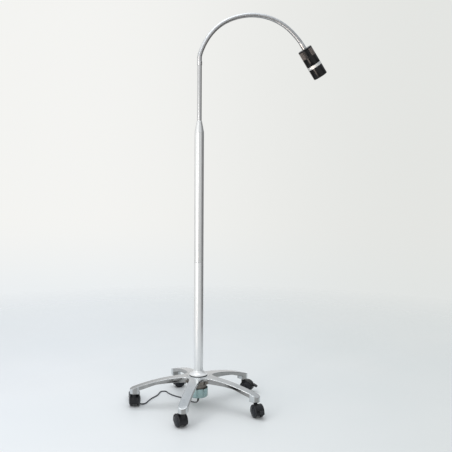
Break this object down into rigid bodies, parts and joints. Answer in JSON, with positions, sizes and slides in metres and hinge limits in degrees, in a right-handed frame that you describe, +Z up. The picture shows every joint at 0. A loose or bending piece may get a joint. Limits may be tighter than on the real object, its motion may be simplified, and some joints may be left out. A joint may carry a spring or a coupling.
{
  "type": "mobile examination light",
  "caption": "Floor-standing examination light: castor base, two-piece column, swivelling arm, gooseneck and a cylindrical lamp head with a focus ring.",
  "frame": {"origin": "on the floor, on the column's axis", "axes": "+Z up along the column; the gooseneck leans towards +X, turned 14 degrees towards +Y; +Y is the back"},
  "size_m": [0.8821, 0.5754, 1.706],
  "materials": {
    "cast_aluminium": "polished cast, satin",
    "castor_plastic": "moulded nylon",
    "castor_wheel": "moulded nylon, hard tread",
    "steel": "bright steel",
    "silver_paint": "satin silver",
    "white_collar": "satin silver white",
    "black_rubber": "soft matt",
    "chrome_tube": "polished",
    "gooseneck_steel": "ribbed bright steel",
    "zinc_plate": "blue zinc plating",
    "hub_iron": "oiled cast",
    "nylon": "natural nylon",
    "potting": "potted module",
    "head_black": "satin black anodised",
    "ring_silver": "turned and knurled",
    "bare_aluminium": "machined",
    "led_module": "board with a silicone dome",
    "lens_glass": "clear lens",
    "button_rubber": "matt",
    "cord_pvc": "satin PVC",
    "plug_plastic": "moulded"
  },
  "bodies": {
    "root": {"star_base": "cast_aluminium", "castor_stems": "steel", "hub_collar": "white_collar", "collar_seal": "black_rubber", "hub_sleeve": "hub_iron", "driver_cup": "zinc_plate", "power_driver": "potting", "cable_nipple": "steel", "strain_relief": "black_rubber", "lower_tube": "silver_paint", "upper_tube": "silver_paint", "joint_spigot": "steel", "top_cone": "silver_paint", "arm_bush": "nylon", "column_lead": "cord_pvc", "cord_tube": "cord_pvc", "cord_hank": "cord_pvc", "cord_tie": "black_rubber", "plug": "plug_plastic"},
    "castor_1": {"castor_1_hood": "castor_plastic", "castor_1_axle": "steel"},
    "castor_1_left": {"castor_1_wheel_left": "castor_wheel"},
    "castor_1_right": {"castor_1_wheel_right": "castor_wheel"},
    "castor_2": {"castor_2_hood": "castor_plastic", "castor_2_axle": "steel"},
    "castor_2_left": {"castor_2_wheel_left": "castor_wheel"},
    "castor_2_right": {"castor_2_wheel_right": "castor_wheel"},
    "brake_pedal_2": {"castor_2_brake_pedal": "castor_plastic"},
    "castor_3": {"castor_3_hood": "castor_plastic", "castor_3_axle": "steel"},
    "castor_3_left": {"castor_3_wheel_left": "castor_wheel"},
    "castor_3_right": {"castor_3_wheel_right": "castor_wheel"},
    "brake_pedal_3": {"castor_3_brake_pedal": "castor_plastic"},
    "castor_4": {"castor_4_hood": "castor_plastic", "castor_4_axle": "steel"},
    "castor_4_left": {"castor_4_wheel_left": "castor_wheel"},
    "castor_4_right": {"castor_4_wheel_right": "castor_wheel"},
    "castor_5": {"castor_5_hood": "castor_plastic", "castor_5_axle": "steel"},
    "castor_5_left": {"castor_5_wheel_left": "castor_wheel"},
    "castor_5_right": {"castor_5_wheel_right": "castor_wheel"},
    "arm": {"arm_tube": "chrome_tube", "arm_ferrule": "chrome_tube", "neck_root": "gooseneck_steel"},
    "neck_1": {"neck_link_1": "gooseneck_steel"},
    "neck_2": {"neck_link_2": "gooseneck_steel"},
    "neck_3": {"neck_link_3": "gooseneck_steel"},
    "neck_4": {"neck_link_4": "gooseneck_steel"},
    "neck_5": {"neck_link_5": "gooseneck_steel"},
    "neck_6": {"neck_link_6": "gooseneck_steel"},
    "neck_7": {"neck_link_7": "gooseneck_steel"},
    "head": {"head_ferrule": "chrome_tube", "rear_housing": "head_black", "heat_sink": "bare_aluminium", "led_board": "led_module", "silver_ring": "ring_silver"},
    "barrel": {"front_barrel": "head_black"},
    "focus": {"lens_carrier": "head_black", "lens": "lens_glass"},
    "button": {"power_button": "button_rubber"}
  },
  "joints": [
    {"name": "castor_1_swivel", "type": "hinge", "parent": "root", "child": "castor_1", "pos_m": [-0.06159, -0.27109, 0.045], "axis": [0, 0, 1], "continuous": true},
    {"name": "castor_1_left_spin", "type": "hinge", "parent": "castor_1", "child": "castor_1_left", "pos_m": [-0.07059, -0.2555, 0.025], "axis": [-0.866, -0.5, 0], "continuous": true},
    {"name": "castor_1_right_spin", "type": "hinge", "parent": "castor_1", "child": "castor_1_right", "pos_m": [-0.07059, -0.2555, 0.025], "axis": [-0.866, -0.5, 0], "continuous": true},
    {"name": "castor_2_swivel", "type": "hinge", "parent": "root", "child": "castor_2", "pos_m": [0.23879, -0.14235, 0.045], "axis": [0, 0, 1], "continuous": true},
    {"name": "castor_2_left_spin", "type": "hinge", "parent": "castor_2", "child": "castor_2_left", "pos_m": [0.24553, -0.15904, 0.025], "axis": [0.9272, 0.3746, 0], "continuous": true},
    {"name": "castor_2_right_spin", "type": "hinge", "parent": "castor_2", "child": "castor_2_right", "pos_m": [0.24553, -0.15904, 0.025], "axis": [0.9272, 0.3746, 0], "continuous": true},
    {"name": "castor_2_brake", "type": "hinge", "parent": "castor_2", "child": "brake_pedal_2", "pos_m": [0.25805, -0.19001, 0.034], "axis": [0.9272, 0.3746, 0], "range_deg": [0, 18]},
    {"name": "castor_3_swivel", "type": "hinge", "parent": "root", "child": "castor_3", "pos_m": [0.20917, 0.18312, 0.045], "axis": [0, 0, 1], "continuous": true},
    {"name": "castor_3_left_spin", "type": "hinge", "parent": "castor_3", "child": "castor_3_left", "pos_m": [0.22609, 0.17696, 0.025], "axis": [0.342, 0.9397, 0], "continuous": true},
    {"name": "castor_3_right_spin", "type": "hinge", "parent": "castor_3", "child": "castor_3_right", "pos_m": [0.22609, 0.17696, 0.025], "axis": [0.342, 0.9397, 0], "continuous": true},
    {"name": "castor_3_brake", "type": "hinge", "parent": "castor_3", "child": "brake_pedal_3", "pos_m": [0.25747, 0.16554, 0.034], "axis": [0.342, 0.9397, 0], "range_deg": [0, 18]},
    {"name": "castor_4_swivel", "type": "hinge", "parent": "root", "child": "castor_4", "pos_m": [-0.10952, 0.25552, 0.045], "axis": [0, 0, 1], "continuous": true},
    {"name": "castor_4_left_spin", "type": "hinge", "parent": "castor_4", "child": "castor_4_left", "pos_m": [-0.09179, 0.25865, 0.025], "axis": [-0.1736, 0.9848, 0], "continuous": true},
    {"name": "castor_4_right_spin", "type": "hinge", "parent": "castor_4", "child": "castor_4_right", "pos_m": [-0.09179, 0.25865, 0.025], "axis": [-0.1736, 0.9848, 0], "continuous": true},
    {"name": "castor_5_swivel", "type": "hinge", "parent": "root", "child": "castor_5", "pos_m": [-0.27686, -0.0252, 0.045], "axis": [0, 0, 1], "continuous": true},
    {"name": "castor_5_left_spin", "type": "hinge", "parent": "castor_5", "child": "castor_5_left", "pos_m": [-0.27686, -0.0072, 0.025], "axis": [-1, 0, 0], "continuous": true},
    {"name": "castor_5_right_spin", "type": "hinge", "parent": "castor_5", "child": "castor_5_right", "pos_m": [-0.27686, -0.0072, 0.025], "axis": [-1, 0, 0], "continuous": true},
    {"name": "arm_swivel", "type": "hinge", "parent": "root", "child": "arm", "pos_m": [0, 0, 1.162], "axis": [0, 0, 1], "range_deg": [-170, 170]},
    {"name": "neck_bend_1", "type": "hinge", "parent": "arm", "child": "neck_1", "pos_m": [0, 0, 1.515], "axis": [-0.2419, 0.9703, 0], "range_deg": [-25.3, 6]},
    {"name": "neck_bend_2", "type": "hinge", "parent": "neck_1", "child": "neck_2", "pos_m": [0.03317, 0.00827, 1.58733], "axis": [-0.2419, 0.9703, 0], "range_deg": [-17.81, 4.23]},
    {"name": "neck_bend_3", "type": "hinge", "parent": "neck_2", "child": "neck_3", "pos_m": [0.08621, 0.02149, 1.64574], "axis": [-0.2419, 0.9703, 0], "range_deg": [-20.31, 4.82]},
    {"name": "neck_bend_4", "type": "hinge", "parent": "neck_3", "child": "neck_4", "pos_m": [0.15562, 0.0388, 1.68156], "axis": [-0.2419, 0.9703, 0], "range_deg": [-15.81, 3.76]},
    {"name": "neck_bend_5", "type": "hinge", "parent": "neck_4", "child": "neck_5", "pos_m": [0.23187, 0.05781, 1.69655], "axis": [-0.2419, 0.9703, 0], "range_deg": [-16.5, 6]},
    {"name": "neck_bend_6", "type": "hinge", "parent": "neck_5", "child": "neck_6", "pos_m": [0.30911, 0.07707, 1.68861], "axis": [-0.2419, 0.9703, 0], "range_deg": [-18.01, 6.56]},
    {"name": "neck_bend_7", "type": "hinge", "parent": "neck_6", "child": "neck_7", "pos_m": [0.38018, 0.09479, 1.65645], "axis": [-0.2419, 0.9703, 0], "range_deg": [-18.81, 6.85]},
    {"name": "neck_bend_8", "type": "hinge", "parent": "neck_7", "child": "head", "pos_m": [0.43741, 0.10906, 1.6024], "axis": [-0.2419, 0.9703, 0], "range_deg": [-12.61, 4.59]},
    {"name": "focus_turn", "type": "hinge", "parent": "head", "child": "barrel", "pos_m": [0.5158, 0.1286, 1.4866], "axis": [0.5552, 0.1384, -0.8202], "range_deg": [0, 90]},
    {"name": "focus_slide", "type": "slide", "parent": "head", "child": "focus", "axis": [0.5552, 0.1384, -0.8202], "range_m": [0, 0.00601]},
    {"name": "button_press", "type": "slide", "parent": "head", "child": "button", "axis": [0.2419, -0.9703, 0], "range_m": [0, 0.0015], "stiffness_N_per_m": 500}
  ],
  "couplings": [
    {"joint": "neck_bend_2", "follows": "neck_bend_1", "ratio": 0.70356},
    {"joint": "neck_bend_3", "follows": "neck_bend_1", "ratio": 0.80237},
    {"joint": "neck_bend_4", "follows": "neck_bend_1", "ratio": 0.62451},
    {"joint": "neck_bend_6", "follows": "neck_bend_5", "ratio": 1.0909},
    {"joint": "neck_bend_7", "follows": "neck_bend_5", "ratio": 1.1394},
    {"joint": "neck_bend_8", "follows": "neck_bend_5", "ratio": 0.76364},
    {"joint": "focus_slide", "follows": "focus_turn", "m_per_rad": 0.0038197}
  ]
}
